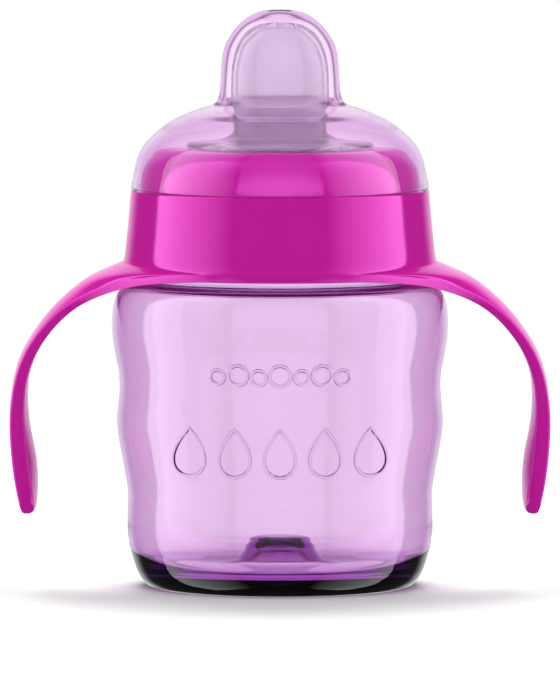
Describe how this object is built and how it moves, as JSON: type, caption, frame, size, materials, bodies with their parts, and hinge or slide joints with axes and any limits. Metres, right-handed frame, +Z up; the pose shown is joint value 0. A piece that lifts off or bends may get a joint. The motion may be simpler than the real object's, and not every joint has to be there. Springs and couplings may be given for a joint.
{
  "type": "sippy cup",
  "caption": "Waisted clear drinking cup with a screw collar moulded in one with curved side handles, a soft oval spout with a drip valve, and a clear domed travel cap.",
  "frame": {"origin": "on the cup's axis, in the plane the cup stands on", "axes": "+Z up along the cup's axis; the handles lie along X; the wide side of the spout faces -Y, the front"},
  "size_m": [0.1162, 0.072, 0.1236],
  "materials": {
    "cup_plastic": "clear lilac polypropylene, smooth and glossy, see-through, darker where the wall is seen on edge",
    "collar_plastic": "opaque magenta polypropylene, polished gloss",
    "spout_silicone": "soft translucent lilac silicone, satin",
    "valve_plastic": "natural translucent polypropylene, satin",
    "membrane_silicone": "soft milky silicone, matte",
    "cap_plastic": "clear pale lilac polypropylene, smooth and glossy, see-through"
  },
  "bodies": {
    "cup": {"cup_body": "cup_plastic"},
    "spout": {"spout": "spout_silicone"},
    "collar": {"handle_collar": "collar_plastic"},
    "valve": {"valve_housing": "valve_plastic"},
    "membrane": {"valve_membrane": "membrane_silicone"},
    "cap": {"travel_cap": "cap_plastic"}
  },
  "joints": [
    {"name": "lid_lift", "type": "slide", "parent": "cup", "child": "spout", "axis": [0, 0, 1], "range_m": [0, 0.0051]},
    {"name": "collar_turn", "type": "hinge", "parent": "spout", "child": "collar", "pos_m": [0, 0, 0.075], "axis": [0, 0, 1], "range_deg": [0, 450]},
    {"name": "cap_lift", "type": "slide", "parent": "spout", "child": "cap", "axis": [0, 0, 1], "range_m": [0, 0.045]},
    {"name": "valve_pull", "type": "slide", "parent": "spout", "child": "valve", "axis": [0, 0, -1], "range_m": [0, 0.012]},
    {"name": "membrane_peel", "type": "slide", "parent": "valve", "child": "membrane", "axis": [0, 0, -1], "range_m": [0, 0.008]}
  ],
  "couplings": [
    {"joint": "lid_lift", "follows": "collar_turn", "m_per_rad": 0.00063662}
  ]
}
